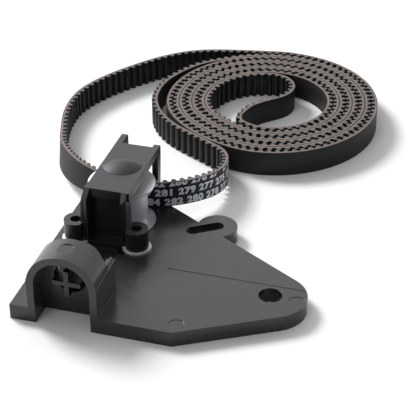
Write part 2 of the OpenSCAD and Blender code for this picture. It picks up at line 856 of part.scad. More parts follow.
// The lower edge leans out where the belt leaves the pulley
lean_len = 48;
function lean(k) =
    let (away = abs(k * tooth_len - contact_s - lean_len))
    away < lean_len ? lean_max * pow(cos(90 * away / lean_len), 2) : 0;
run_start = floor((contact_s - level_len - ramp_len) / tooth_len);
run_end = ceil((contact_s + level_len + ramp_len) / tooth_len);

// A point of the belt at tooth k, a share u of the way to the next, at an offset
function belt_point(k, u, offset) =
    let (a = joint(k) + normal(k) * offset, b = joint(k + 1) + normal(k + 1) * offset)
    a + (b - a) * u;

root_u = (1 - tooth_root_share) / 2;
tip_u = (1 - tooth_tip_share) / 2;
// One tooth's outline between joint k and the next: share along, and offset
tooth_outline = [[root_u, root_side], [tip_u, tooth_side], [1 - tip_u, tooth_side],
                 [1 - root_u, root_side]];

// ---------------------------------------------------------------- belt solids

// The coil lies flat, so it is one upright extrusion of the strand between two offsets
coil_first = run_end;
coil_last = run_start + tooth_count;
module coil_strip(inner, outer) {
    there = [for (k = [coil_first : coil_last]) belt_point(k, 0, inner)];
    back = [for (k = [coil_last : -1 : coil_first]) belt_point(k, 0, outer)];
    linear_extrude(belt_w) polygon(concat(there, back));
}
module belt_coil_backing() { color(belt_rubber) coil_strip(back_side, backing_side); }
module belt_coil_cord() { color(cord_copper) coil_strip(backing_side, cord_side); }
module belt_coil_teeth() {
    there = [for (k = [coil_first : coil_last]) belt_point(k, 0, cord_side)];
    back = [
        for (k = [coil_last - 1 : -1 : coil_first], i = [3 : -1 : 0])
            belt_point(k, tooth_outline[i][0], tooth_outline[i][1])
    ];
    first = belt_point(coil_first, 0, root_side);
    last = belt_point(coil_last, 0, root_side);
    color(belt_rubber) linear_extrude(belt_w) polygon(concat(there, [last], back, [first]));
}

// The run climbs and leans, so it is swept through marks: a joint, and a share of the way on
run_marks = [
    for (k = [run_start : run_end])
        each concat([[k, 0]], k < run_end ? [for (t = tooth_outline) [k, t[0]]] : [])
];
run_tooth_sides = [
    for (k = [run_start : run_end])
        each concat([root_side], k < run_end ? [for (t = tooth_outline) t[1]] : [])
];
// A point of the run at a mark: leaning is 1 for the lower edge and 0 for the upper one
function run_point(mark, offset, leaning) =
    let (
        k = mark[0],
        a = joint(k) + normal(k) * (offset - leaning * lean(k)),
        b = joint(k + 1) + normal(k + 1) * (offset - leaning * lean(k + 1)),
        p = a + (b - a) * mark[1],
        z = height(k) + (height(k + 1) - height(k)) * mark[1]
    )
    [p.x, p.y, z + (1 - leaning) * belt_w];

// Solid between an inner offset and one outer offset per mark
module run_strip(inner, outers) {
    count = len(run_marks);
    points = [
        for (i = [0 : count - 1])
            let (mark = run_marks[i])
            each [
                run_point(mark, inner, 1), run_point(mark, outers[i], 1),
                run_point(mark, outers[i], 0), run_point(mark, inner, 0)
            ]
    ];
    // Neighbouring strips share a wall, so both split its quads along the same diagonal
    skin = [
        for (i = [0 : count - 2], j = [0 : 3])
            let (
                m = (j + 1) % 4,
                a = 4 * i + j, b = 4 * (i + 1) + j, c = 4 * (i + 1) + m, d = 4 * i + m
            )
            each j == 1 || j == 2 ? [[a, b, c], [a, c, d]] : [[a, b, d], [b, c, d]]
    ];
    ends = [[0, 1, 2, 3], [4 * count - 1, 4 * count - 2, 4 * count - 3, 4 * count - 4]];
    polyhedron(points = points, faces = concat(skin, ends));
}
module belt_run_backing() {
    color(belt_rubber) run_strip(back_side, [for (m = run_marks) backing_side]);
}
module belt_run_cord() {
    color(cord_copper) run_strip(backing_side, [for (m = run_marks) cord_side]);
}
module belt_run_teeth() {
    color(belt_rubber) run_strip(cord_side, run_tooth_sides);
}

mounting_plate();
carriage();
tension_spring();
axle_pin();
axle_clip();
inner_spacer();
guide_washers();
guide_sleeves();
guide_screws();
lower_washers();
pulley_drum();
upper_flange();
lower_flange();
upper_outer_ring();
lower_outer_ring();
upper_inner_ring();
lower_inner_ring();
upper_cage();
lower_cage();
upper_balls();
lower_balls();
upper_shield();
lower_shield();
belt_coil_backing();
belt_coil_cord();
belt_coil_teeth();
belt_run_backing();
belt_run_cord();
belt_run_teeth();
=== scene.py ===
# %% [markdown]
# # Timing belt with its sprung idler tensioner
#
# The imported model is the fixed frame: every plate, shaft and bearing below comes from it. The
# notebook adds what the imported solids can't show:
#
# 1. one continuous toothed belt, with rounded teeth, a cut edge and a visible cord line;
# 2. plain tooth counts printed on the belt's back;
# 3. a round-wire tension spring that shortens with the slide;
# 4. a smooth skin over the dome of the carriage;
# 5. procedural finishes for moulded plastic, rubber, polished and turned steel;
# 6. a pale floor, soft studio light and the camera.
#
# Blender works in metres, and the sizes below are in millimetres, times mm = 0.001.
#
# ## The frame
#
# The box round the part is measured at once, before anything is added, and printed.

# %% Load the frame
import math

import bmesh
import bpy
import numpy as np
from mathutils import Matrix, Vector


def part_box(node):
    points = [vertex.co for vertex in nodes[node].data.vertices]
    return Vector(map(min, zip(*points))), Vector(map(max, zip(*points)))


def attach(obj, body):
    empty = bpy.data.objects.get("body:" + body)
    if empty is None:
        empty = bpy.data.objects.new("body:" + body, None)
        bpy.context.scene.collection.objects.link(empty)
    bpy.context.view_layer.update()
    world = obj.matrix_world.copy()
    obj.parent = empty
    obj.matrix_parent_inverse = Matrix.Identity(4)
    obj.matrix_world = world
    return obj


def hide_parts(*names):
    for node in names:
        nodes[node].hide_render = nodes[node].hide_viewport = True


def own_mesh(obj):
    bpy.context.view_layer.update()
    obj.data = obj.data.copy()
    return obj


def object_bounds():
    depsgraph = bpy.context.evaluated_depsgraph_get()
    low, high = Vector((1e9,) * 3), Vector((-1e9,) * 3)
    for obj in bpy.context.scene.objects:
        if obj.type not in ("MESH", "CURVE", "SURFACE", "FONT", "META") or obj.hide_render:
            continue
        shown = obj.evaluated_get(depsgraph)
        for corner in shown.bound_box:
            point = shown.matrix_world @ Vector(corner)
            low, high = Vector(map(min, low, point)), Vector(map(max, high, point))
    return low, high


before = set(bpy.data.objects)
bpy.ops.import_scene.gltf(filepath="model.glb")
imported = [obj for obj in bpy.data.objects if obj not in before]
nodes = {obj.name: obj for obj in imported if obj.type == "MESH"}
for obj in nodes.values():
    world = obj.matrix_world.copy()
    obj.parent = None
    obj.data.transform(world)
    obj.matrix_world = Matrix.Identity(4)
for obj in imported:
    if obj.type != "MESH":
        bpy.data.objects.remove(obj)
cad_low, cad_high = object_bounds()
mm = 0.001
print("CAD box, mm:", [round(v / mm, 1) for v in cad_high - cad_low])

# %% [markdown]
# ## Shared sizes
#
# A toothed belt is sold by its pitch and its width, so those two drive the rest. The layers are the
# rubber backing, the cords that take the pull, and the toothed layer. The same numbers stand in the
# part's construction. The axle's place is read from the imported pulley, so that a later change of
# the plate moves the belt with it.

# %% Shared sizes
PITCH, BELT_W = 5.0, 15.0
BACKING_T, CORD_T, WEB_T, TOOTH_H = 0.75, 0.45, 0.34, 2.06
TOOTH_ROOT, TOOTH_TIP = 0.62, 0.40
COIL_R, COIL_TURNS = 68.0, 4
TIP_GAP, BACK_GAP = 0.3, 0.25
DENT, DENT_ANGLE, DENT_HALF = 2.8, 210.0, 45.0
COIL_LEFT, COIL_FRONT = 22.0, 57.4
BEND_REACH, LOOP_REACH = 42.0, 69.8
LIFT, RAMP_LEN, LEVEL_LEN = 8.6, 74.0, 22.0
LEAN_MAX, LEAN_LEN = 3.2, 48.0
DRUM_GAP = 0.3

drum_low, drum_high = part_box("pulley_drum")
AXLE = np.array([(drum_low[0] + drum_high[0]) / 2, (drum_low[1] + drum_high[1]) / 2]) / mm
DRUM_R = (drum_high[0] - drum_low[0]) / 2 / mm

# offsets are measured from the cord's middle, with the teeth on the plus side
BACK = -BACKING_T - CORD_T / 2
BACKING_SIDE, CORD_SIDE = -CORD_T / 2, CORD_T / 2
ROOT = CORD_SIDE + WEB_T
TIP = ROOT + TOOTH_H
THICK = TIP - BACK
TURN_STEP = 2 * THICK + TIP_GAP + BACK_GAP
CONTACT = np.array([AXLE[0], AXLE[1] + DRUM_R + DRUM_GAP - BACK])
COIL = CONTACT + [COIL_R - COIL_LEFT, COIL_FRONT + COIL_R]
print("belt thickness", round(THICK, 2), "mm; axle at", AXLE.round(2))

# %% [markdown]
# ## The coil
#
# A long belt is put away by folding it double and rolling the fold up from its middle. So the coil
# is a double strand, wound as one Archimedean spiral:
#
# $$ r(\theta) = R_0 - p\,\theta/360 - d(\theta) - \text{depth}, $$
#
# with θ clockwise from +Y. One strand runs inwards with its teeth inwards, and the other runs
# outwards with its teeth outwards, so that teeth face teeth and backs face backs. d(θ) flattens the
# turns where the free run presses on them. A formula suits the spiral better than a drawn curve,
# because every turn then keeps its distance from the next.

# %% Coil
def dent_at(angle):
    """Depth of the flattened stretch: a squared cosine about DENT_ANGLE."""
    away = abs((angle - DENT_ANGLE + 540) % 360 - 180)
    return DENT * math.cos(math.radians(90 * away / DENT_HALF)) ** 2 if away < DENT_HALF else 0.0


def coil_point(angle, depth):
    """Plan point on the spiral: radius R0 - step * angle / 360 - dent - depth."""
    r = COIL_R - TURN_STEP * angle / 360 - dent_at(angle) - depth
    t = math.radians(angle)
    return COIL + [r * math.sin(t), r * math.cos(t)]


def coil_run(first, last, depth, step=12.0):
    """Spiral points at even angles from the first angle to the last, about step degrees apart."""
    count = round(abs(last - first) / step)
    return [coil_point(first + (last - first) * i / count, depth) for i in range(count + 1)]


INWARD_ENDS = (-10, 360 * COIL_TURNS - 24)
OUTWARD_ENDS = (360 * (COIL_TURNS - 1) + 176, -38)
inward = coil_run(*INWARD_ENDS, -BACK)
outward = coil_run(*OUTWARD_ENDS, 2 * THICK + TIP_GAP + BACK)
print("coil points:", len(inward), "inwards and", len(outward), "outwards")

# %% [markdown]
# ## The free runs
#
# Where the belt isn't coiled it lies in loose bends: a turn back inside the coil, a run round the
# coil's left side to the pulley, and a wide loop from the pulley back to the coil. These points are
# listed one by one. Each list is in shares of one length, or as an angle and a distance from the
# coil's edge, so that they follow when that length changes.

# %% Free runs
TURN_BACK_SHAPE = (
    (-0.15, 0.96), (0.05, 0.91), (0.2, 0.78), (0.28, 0.61), (0.28, 0.42), (0.2, 0.23),
    (0.05, 0.07), (-0.11, -0.09), (-0.23, -0.265), (-0.29, -0.45), (-0.315, -0.62),
    (-0.27, -0.765), (-0.145, -0.855))
LEAVING_COIL = (
    (-57.5, -2.8), (-80.2, 0), (-98.6, 1.2), (-115, -0.2), (-133.2, -3.5), (-156.7, -5.7),
    (-170.3, -1.2))
BEND_SHAPE = ((0.97, 1.155), (1, 0.833), (0.92, 0.524), (0.714, 0.233), (0.448, 0.052),
              (0.214, 0.005))
LOOP_SHAPE = (
    (-0.158, 0.013), (-0.344, 0.074), (-0.56, 0.245), (-0.788, 0.553), (-0.911, 0.86),
    (-0.994, 1.175), (-1, 1.49), (-0.9, 1.785))
REACHING_COIL = ((-77.2, 29.4), (-60.9, 20.1), (-44.2, 10.9))


def beside_coil(angle, out):
    """Plan point at a clockwise angle from +Y, a distance out from the coil's edge."""
    t = math.radians(angle)
    return COIL + (COIL_R + out) * np.array([math.sin(t), math.cos(t)])


def scaled_shape(middle, reach, shape):
    """Plan points at a middle plus a reach times each point of a shape."""
    return [middle + reach * np.array(p) for p in shape]


turn_back = scaled_shape(COIL, COIL_R - TURN_STEP * COIL_TURNS, TURN_BACK_SHAPE)
to_pulley = [beside_coil(*spot) for spot in LEAVING_COIL]
to_pulley += scaled_shape(CONTACT, BEND_REACH, BEND_SHAPE)
from_pulley = scaled_shape(CONTACT, LOOP_REACH, LOOP_SHAPE)
from_pulley += [beside_coil(*spot) for spot in REACHING_COIL]
route = np.array(turn_back + outward + to_pulley + [CONTACT] + from_pulley + inward)
contact_index = len(turn_back) + len(outward) + len(to_pulley)
print("route points:", len(route))

# %% [markdown]
# ## One smooth closed line
#
# A Catmull-Rom curve passes through every chosen point and needs no handles. Its length gives the
# number of teeth: the count is rounded, and the pitch is stretched by the small rest, so that the
# last tooth meets the first.

# %% Smooth route
FINE = 8


def smooth_closed(points, fine):
    """Catmull-Rom curve through a closed list of points, fine samples a span.

    0.5 (2 b + (c - a) t + (2 a - 5 b + 4 c - d) t^2 + (3 b - a - 3 c + d) t^3) between b and c.
    """
    p0, p1 = np.roll(points, 1, 0), points
    p2, p3 = np.roll(points, -1, 0), np.roll(points, -2, 0)
    t = (np.arange(fine) / fine)[None, :, None]
    a, b, c, d = (p[:, None, :] for p in (p0, p1, p2, p3))
    curve = 0.5 * (2 * b + (c - a) * t + (2 * a - 5 * b + 4 * c - d) * t ** 2
                   + (3 * b - a - 3 * c + d) * t ** 3)
    return curve.reshape(-1, 2)


curve = smooth_closed(route, FINE)
closed = np.vstack([curve, curve[:1]])
lengths = np.concatenate([[0], np.cumsum(np.linalg.norm(np.diff(closed, axis=0), axis=1))])
route_len = lengths[-1]
contact_s = lengths[contact_index * FINE]
teeth = round(route_len / PITCH)
tooth_len = route_len / teeth
print("belt:", teeth, "teeth,", round(route_len / 1000, 3), "m")

# %% [markdown]
# ## A place on the belt
#
# Every belt surface is written as (s, offset, height): the length along the cord, the distance
# towards the tooth side, and the height across the belt. The run to the pulley is lifted by an
# eased ramp, because the drum stands above the floor, and just past the pulley its lower edge leans
# out, as a loose belt does. Working in these three numbers keeps all layers in step.

# %% Belt frame
along = np.roll(curve, -1, 0) - np.roll(curve, 1, 0)
along /= np.linalg.norm(along, axis=1)[:, None]
normals = np.c_[along[:, 1], -along[:, 0]]
normals = np.vstack([normals, normals[:1]])


def ease(t):
    """Smooth step: 3 t^2 - 2 t^3, held at 0 and 1 outside."""
    t = np.clip(t, 0, 1)
    return t * t * (3 - 2 * t)


def place(s, offset, h):
    """World points in metres for arrays of s, offset and height, all in millimetres.

    The point is route(s) + normal(s) * (offset - lean * (1 - h / width)), at height h + lift. The
    lift is eased with the distance from the pulley, and the lean is a squared cosine.
    """
    s, offset, h = np.broadcast_arrays(np.asarray(s, float) % route_len, offset, h)
    away = np.abs(s - contact_s)
    lift = LIFT * ease(1 - (away - LEVEL_LEN) / RAMP_LEN)
    d = np.abs(s - contact_s - LEAN_LEN)
    lean = np.where(d < LEAN_LEN, LEAN_MAX * np.cos(np.pi / 2 * np.minimum(d / LEAN_LEN, 1)) ** 2, 0)
    shift = offset - lean * (1 - h / BELT_W)
    nx, ny = (np.interp(s, lengths, normals[:, i]) for i in (0, 1))
    size = np.hypot(nx, ny)
    x = np.interp(s, lengths, closed[:, 0]) + nx / size * shift
    y = np.interp(s, lengths, closed[:, 1]) + ny / size * shift
    return np.stack([x, y, h + lift], -1) * mm


print("lift at the pulley, mm:", round(float(place(contact_s, 0, 0)[2]) / mm, 2))

# %% [markdown]
# ## From arrays to a mesh
#
# Each new piece goes through one function. Its object stays at the origin, unturned, and the place
# is in the mesh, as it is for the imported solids. Faces are turned outwards, and edges that are
# steeper than a limit stay sharp while the rest is shaded smooth.

# %% Mesh object
def mesh_object(name, verts, faces, slots=None, sharp_angle=35):
    """Mesh object at the origin, sharp where two faces meet at more than sharp_angle degrees."""
    me = bpy.data.meshes.new(name)
    me.from_pydata(np.asarray(verts).tolist(), [], [[int(i) for i in f] for f in faces])
    me.validate()
    if slots is not None:
        me.polygons.foreach_set("material_index", np.asarray(slots, np.int32))
    bm = bmesh.new()
    bm.from_mesh(me)
    bmesh.ops.recalc_face_normals(bm, faces=bm.faces)
    bm.to_mesh(me)
    bm.free()
    me.shade_smooth()
    me.set_sharp_from_angle(angle=math.radians(sharp_angle))
    ob = bpy.data.objects.new(name, me)
    bpy.context.scene.collection.objects.link(ob)
    return ob


def ring_quads(rings, sides, first=0):
    """Four-sided faces between rings of points: i * sides + j to its neighbours, from first on."""
    i = np.arange(rings)[:, None] * sides + first
    j = np.arange(sides)
    k = (j + 1) % sides
    return np.stack([i + j, i + k, i + sides + k, i + sides + j], -1).reshape(-1, 4)


print("quads of a small tube:", len(ring_quads(3, 8)))

# %% [markdown]
# ## Tooth outline
#
# Each tooth is a trapezoid, as the pulley's grooves are, with rounded roots and tips. The corner
# rounding is a quadratic curve
#
# $$ q(t) = (1-t)^2 a + 2t(1-t)\,c + t^2 b, $$
#
# from a point a before each corner c to a point b after it. Three samples a corner are enough,
# because the outline is repeated for every tooth.

# %% Tooth outline
CORNER_REACH, CORNER_SHARE = 0.42, 0.45
PLAIN_STEPS = 5


def tooth_profile():
    """(share, offset) pairs over one pitch: gap, flank, tip, flank, gap, with rounded corners."""
    r0, t0 = (1 - TOOTH_ROOT) / 2, (1 - TOOTH_TIP) / 2
    path = [(0.0, ROOT), (r0, ROOT), (t0, TIP), (1 - t0, TIP), (1 - r0, ROOT), (1.0, ROOT)]
    scale = np.array([PITCH, 1.0])
    out = [path[0]]
    for before, here, after in zip(path, path[1:], path[2:]):
        here = np.array(here)
        da, db = before - here, after - here
        la, lb = np.linalg.norm(da * scale), np.linalg.norm(db * scale)
        reach = min(CORNER_REACH, la * CORNER_SHARE, lb * CORNER_SHARE)
        a, b = here + da / la * reach, here + db / lb * reach
        out += [tuple((1 - t) ** 2 * a + 2 * t * (1 - t) * here + t * t * b) for t in (0.0, 0.5, 1.0)]
    return out


marks = np.array([[k + u, off] for k in range(teeth) for u, off in tooth_profile()])
tooth_s, tooth_off = marks[:, 0] * tooth_len, marks[:, 1]
plain_s = np.arange(teeth * PLAIN_STEPS) * tooth_len / PLAIN_STEPS
print("sections:", len(tooth_s))

# %% [markdown]
# ## The belt's three layers
#
# The real belt is moulded as a sleeve and sawn to width, so its edges show all three layers. Each
# layer is one closed ring: an eight-cornered section carried along the whole route. The long edges
# get a narrow chamfer, which catches the light as the real edge does. Two slots keep the sawn faces
# apart from the moulded ones.

# %% Belt layers
EDGE, THIN_EDGE = 0.12, 0.01
SAWN_SIDES = (0, 1, 2, 4, 5, 6)


def strip(name, s, inner, outer, edge=EDGE):
    """Closed ring between two offsets: eight corners at each s, joined to the next section's."""
    n = len(s)
    inner = np.broadcast_to(inner, n)
    outer = np.broadcast_to(outer, n)
    side = edge / 2
    corners = [
        (inner, edge), (inner + side, 0.0), (outer - side, 0.0), (outer, edge),
        (outer, BELT_W - edge), (outer - side, BELT_W), (inner + side, BELT_W),
        (inner, BELT_W - edge)]
    m = len(corners)
    verts = np.stack([place(s, offset, h) for offset, h in corners], 1).reshape(-1, 3)
    i = np.arange(n)
    j = (i + 1) % n
    faces, slots = [], []
    for a in range(m):
        b = (a + 1) % m
        faces.append(np.c_[i * m + a, j * m + a, j * m + b, i * m + b])
        slots.append(np.full(n, int(a in SAWN_SIDES)))
    return mesh_object(name, verts, np.vstack(faces), np.concatenate(slots))


belt_backing = strip("belt_backing", plain_s, BACK, BACKING_SIDE)
belt_cord = strip("belt_cord_layer", plain_s, BACKING_SIDE, CORD_SIDE, edge=THIN_EDGE)
belt_teeth = strip("belt_toothed_layer", tooth_s, CORD_SIDE, tooth_off)

for piece, kind in ((belt_backing, "backing"), (belt_cord, "cord"), (belt_teeth, "teeth")):
    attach(piece, "plate")
    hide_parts("belt_coil_" + kind, "belt_run_" + kind)
    print(piece.name, "faces:", len(piece.data.polygons))

# %% [markdown]
# ## Printed numbers
#
# Such a belt has rows of print along its back. Here they are three rows of plain tooth counts, from
# the pulley round the bend, and the top row runs off the belt's edge. A text object gives the
# outline. It is made a flat mesh, cut into narrow upright slices so that it can follow the bend,
# and laid 0.02 mm off the belt through the same place function. Real geometry keeps the print
# sharp, where a picture would blur.

# %% Printed numbers
ROW_COUNT, ROW_PITCH, ROW_BASE, ROW_SHIFT = 3, 6.0, 0.9, 5.0
CAP_H, CAP_SHARE, STROKE, LETTER_GAP, WIDEN = 4.0, 0.72, 0.3, 1.12, 1.12
PRINT_START, PRINT_LEN, PRINT_TOP, SLICE_W = 6.0, 112.0, BELT_W - 0.3, 0.8
WORDS_A_ROW, TEETH_A_WORD, INK_LIFT = 22, 2, 0.02


def mesh_points(me):
    """All of a mesh's points, as rows of x, y and z."""
    flat = np.empty(3 * len(me.vertices))
    me.vertices.foreach_get("co", flat)
    return flat.reshape(-1, 3)


def number_row(row):
    """Flat outline of one row: millimetres, x along the text and y up from the belt's lower edge."""
    first = int(round(contact_s / tooth_len)) - row % 2
    text = bpy.data.curves.new("numbers_%d" % row, "FONT")
    text.body = " ".join("%03d" % (first - TEETH_A_WORD * j) for j in range(WORDS_A_ROW))
    text.size = CAP_H / CAP_SHARE
    text.offset = STROKE
    text.space_character = LETTER_GAP
    text.fill_mode = "FRONT"
    ob = bpy.data.objects.new("numbers_%d" % row, text)
    bpy.context.scene.collection.objects.link(ob)
    me = bpy.data.meshes.new_from_object(ob.evaluated_get(bpy.context.evaluated_depsgraph_get()))
    bpy.data.objects.remove(ob)
    points = mesh_points(me)
    points[:, 0] = points[:, 0] * WIDEN + PRINT_START - ROW_SHIFT * row
    points[:, 1] += ROW_BASE + ROW_PITCH * row
    points[:, 2] = 0
    me.vertices.foreach_set("co", points.ravel())
    return me


def cut_row(me):
    """The row trimmed to the printed stretch and cut upright every SLICE_W."""
    bm = bmesh.new()
    bm.from_mesh(me)
    end = PRINT_START + PRINT_LEN
    trims = [((PRINT_START, 0, 0), (-1, 0, 0)), ((end, 0, 0), (1, 0, 0)), ((0, PRINT_TOP, 0), (0, 1, 0))]
    slices = [((x, 0, 0), (1, 0, 0)) for x in np.arange(PRINT_START, end, SLICE_W)]
    for co, no in trims + slices:
        geom = bm.verts[:] + bm.edges[:] + bm.faces[:]
        bmesh.ops.bisect_plane(bm, geom=geom, plane_co=co, plane_no=no, clear_outer=(co, no) in trims)
    bm.to_mesh(me)
    bm.free()
    return me


all_rows = bmesh.new()
for row in range(ROW_COUNT):
    all_rows.from_mesh(cut_row(number_row(row)))
number_mesh = bpy.data.meshes.new("belt_numbers")
all_rows.to_mesh(number_mesh)
all_rows.free()
flat = mesh_points(number_mesh)
on_belt = place(contact_s - flat[:, 0], BACK - INK_LIFT, flat[:, 1])
number_mesh.vertices.foreach_set("co", on_belt.ravel())
number_mesh.update()
belt_numbers = bpy.data.objects.new("belt_numbers", number_mesh)
bpy.context.scene.collection.objects.link(belt_numbers)
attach(belt_numbers, "plate")
print("printed faces:", len(number_mesh.polygons))

# %% [markdown]
# ## Tension spring
#
# A compression spring sits on the carriage's tail, between the collar and the arch's wall. Its wire
# is a circle carried along a helix:
#
# $$ p(t) = (R\cos\varphi,\; L\,w(t),\; R\sin\varphi),\quad \varphi = 2\pi N t, $$
#
# with w(t) flat over the first and last 0.9 turns, which is how the closed ends of such a spring
# lie.

# %% Tension spring
spring_low, spring_high = (np.array(v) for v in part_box("tension_spring"))
SPRING_TURNS, WIRE_R, FLAT_TURNS, WIRE_SHARE = 4, 0.8, 0.9, 0.985
SPRING_AXIS_Z, SPRING_KEEP = 21.0, 8.0 / 12.0
mean_r = (spring_high[0] - spring_low[0]) / 2 / mm - WIRE_R
spring_len = (spring_high[1] - spring_low[1]) / mm


def spring_mesh(rings=64 * SPRING_TURNS, sides=16):
    """Wire of radius w about a helix of radius R: r = R + w cos b, y = rise + w sin b."""
    t = np.linspace(0, 1, rings + 1)
    flat_share = FLAT_TURNS / SPRING_TURNS
    rise = np.clip((t - flat_share) / (1 - 2 * flat_share), 0, 1)
    a = 2 * np.pi * SPRING_TURNS * t
    b = 2 * np.pi * np.arange(sides) / sides
    wire = WIRE_R * WIRE_SHARE
    r = mean_r + wire * np.cos(b)[None, :]
    y = (WIRE_R + (spring_len - 2 * WIRE_R) * rise)[:, None] + wire * np.sin(b)[None, :]
    x = AXLE[0] + r * np.cos(a)[:, None]
    z = SPRING_AXIS_Z + r * np.sin(a)[:, None]
    verts = np.stack([x, spring_low[1] / mm + y, z], -1).reshape(-1, 3) * mm
    first_end = range(sides - 1, -1, -1)
    last_end = range(rings * sides, (rings + 1) * sides)
    faces = [*ring_quads(rings, sides), first_end, last_end]
    return mesh_object("tension_spring_wire", verts, faces, sharp_angle=50)


spring = spring_mesh()
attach(spring, "plate")
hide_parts("tension_spring")
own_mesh(spring)
print("spring faces:", len(spring.data.polygons))

# %% [markdown]
# ## Dome over the axle's end
#
# The moulding swells over the axle where two shallow balls meet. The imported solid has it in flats,
# so a smooth skin is laid on it. Its height above the arm is
#
# $$ z = \min_i \left( \sqrt{R_i^2 - d_i^2} - (R_i - h_i) \right), \quad R_i = (b_i^2 + h_i^2) / 2h_i, $$
#
# with d the distance from each ball's middle, b its radius on the arm and h its height. A polar
# grid suits it: the outermost ring is where the height falls to nothing, found by halving.

# %% Dome over the axle's end
DOME_BALLS = ((10.7, 2.6, 0.0), (11.6, 3.0, -5.2))
DOME_BACK, DOME_TURN, SKIN = 2.3, math.radians(16), 0.04
SEARCH_R, HALVINGS = 12.0, 30


def dome_height(x, y):
    """Height over the arm: the lower of two balls, each sqrt(R^2 - d^2) - (R - h)."""
    heights = []
    for base_r, h, shift in DOME_BALLS:
        ball_r = (base_r ** 2 + h ** 2) / (2 * h)
        heights.append(np.sqrt(ball_r ** 2 - x ** 2 - (y - shift) ** 2) - (ball_r - h))
    return np.minimum(*heights)


def dome_edge(a):
    """Radius at each angle a where the height is nothing, by halving the interval."""
    low, high = np.zeros_like(a), np.full_like(a, SEARCH_R)
    for _ in range(HALVINGS):
        mid = (low + high) / 2
        inside = dome_height(mid * np.cos(a), mid * np.sin(a)) > 0
        low, high = np.where(inside, mid, low), np.where(inside, high, mid)
    return low


def dome_skin(rings=24, sides=144):
    """Polar grid of dome_height out to dome_edge, with a short skirt and a flat underside."""
    a = np.linspace(0, 2 * np.pi, sides, endpoint=False)
    reach = np.linspace(0, 1, rings + 1)[1:, None] * dome_edge(a)
    x, y = np.append(0, reach * np.cos(a)), np.append(0, reach * np.sin(a))
    z = dome_height(x, y)
    arm_top = float(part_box("carriage")[1][2]) / mm - z.max()
    x, y = np.append(x, x[-sides:]), np.append(y, y[-sides:])
    z = arm_top + np.append(z + SKIN, np.full(sides, -SKIN))
    c, s = math.cos(DOME_TURN), math.sin(DOME_TURN)
    verts = np.c_[AXLE[0] + c * x - s * y, AXLE[1] + DOME_BACK + s * x + c * y, z] * mm
    j = np.arange(sides)
    fan = np.c_[np.zeros_like(j), 1 + j, 1 + (j + 1) % sides]
    underside = 1 + rings * sides + j[::-1]
    return mesh_object("carriage_dome_skin", verts, [*fan, *ring_quads(rings, sides, 1), underside])


dome = dome_skin()
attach(dome, "idler_carriage")
print("dome faces:", len(dome.data.polygons))

# %% [markdown]
# ## Finishes
#
# Small builders for node materials: a cloudy noise, a change of range, a blend of two colours and a
# bump. Every pattern is worked out from Object coordinates, which are the part's own frame, so that
# it stays on a piece that moves. Nothing is painted or loaded.

# %% Material builders
def new_material(name, color, roughness, metallic=0.0, specular=0.5):
    """Material, its node tree, its surface shader and the Object coordinates."""
    mat = bpy.data.materials.new(name)
    mat.use_nodes = True
    tree = mat.node_tree
    bsdf = tree.nodes["Principled BSDF"]
    bsdf.inputs["Base Color"].default_value = (*color, 1)
    bsdf.inputs["Roughness"].default_value = roughness
    bsdf.inputs["Metallic"].default_value = metallic
    bsdf.inputs["Specular IOR Level"].default_value = specular
    coords = tree.nodes.new("ShaderNodeTexCoord")
    return mat, tree, bsdf, coords.outputs["Object"]


def noise(tree, vector, scale, detail=3.0, rough=0.5):
    """Cloudy value from 0 to 1, with scale clouds to the metre."""
    n = tree.nodes.new("ShaderNodeTexNoise")
    n.inputs["Scale"].default_value = scale
    n.inputs["Detail"].default_value = detail
    n.inputs["Roughness"].default_value = rough
    tree.links.new(vector, n.inputs["Vector"])
    return n.outputs["Fac"]


def remap(tree, value, low, high, to_low, to_high):
    """A value's range from low to high, turned in proportion into to_low to to_high and held."""
    n = tree.nodes.new("ShaderNodeMapRange")
    n.inputs["From Min"].default_value = low
    n.inputs["From Max"].default_value = high
    n.inputs["To Min"].default_value = to_low
    n.inputs["To Max"].default_value = to_high
    tree.links.new(value, n.inputs["Value"])
    return n.outputs["Result"]


def mix_color(tree, fac, a, b):
    """Colour (1 - fac) * a + fac * b, for two plain colours."""
    n = tree.nodes.new("ShaderNodeMix")
    n.data_type = "RGBA"
    tree.links.new(fac, n.inputs["Factor"])
    for name, value in (("A", a), ("B", b)):
        socket = [s for s in n.inputs if s.name == name and s.type == "RGBA"][0]
        socket.default_value = (*value, 1)
    return [s for s in n.outputs if s.type == "RGBA"][0]


def stretch(tree, vector, scale):
    """Coordinates times a scale on each axis: over 1 squeezes a pattern, under 1 draws it out."""
    n = tree.nodes.new("ShaderNodeMapping")
    n.inputs["Scale"].default_value = scale
    tree.links.new(vector, n.inputs["Vector"])
    return n.outputs["Vector"]


def bump(tree, bsdf, height, distance, strength=0.5, round_edges=0.0):
    """Bump from a height; round_edges softens the solid's edges by that many millimetres."""
    n = tree.nodes.new("ShaderNodeBump")
    n.inputs["Distance"].default_value = distance
    n.inputs["Strength"].default_value = strength
    tree.links.new(height, n.inputs["Height"])
    if round_edges:
        r = tree.nodes.new("ShaderNodeBevel")
        r.samples = 6
        r.inputs["Radius"].default_value = round_edges * mm
        tree.links.new(r.outputs["Normal"], n.inputs["Normal"])
    tree.links.new(n.outputs["Normal"], bsdf.inputs["Normal"])


def two_tones(tree, bsdf, value, low, high, dark, light):
    """Base colour that goes from dark to light as a value goes from low to high."""
    share = remap(tree, value, low, high, 0, 1)
    tree.links.new(mix_color(tree, share, dark, light), bsdf.inputs["Base Color"])


print("materials so far:", len(bpy.data.materials))

# %% [markdown]
# ## Moulded black plastic
#
# The plate and the carriage are moulded plastic, most likely a filled nylon. The skin is satin: a fine
# spark-eroded grain, with faint clouds where the melt flowed. The grain is bump, because it is far
# smaller than a facet, and the clouds move both the tone and the roughness. The dome is rougher, so
# that the key light draws no bright spot on it.

# %% Moulded black plastic
EDGE_ROUND, COOL_SHEEN = 0.35, (0.93, 0.91, 1.0, 1)


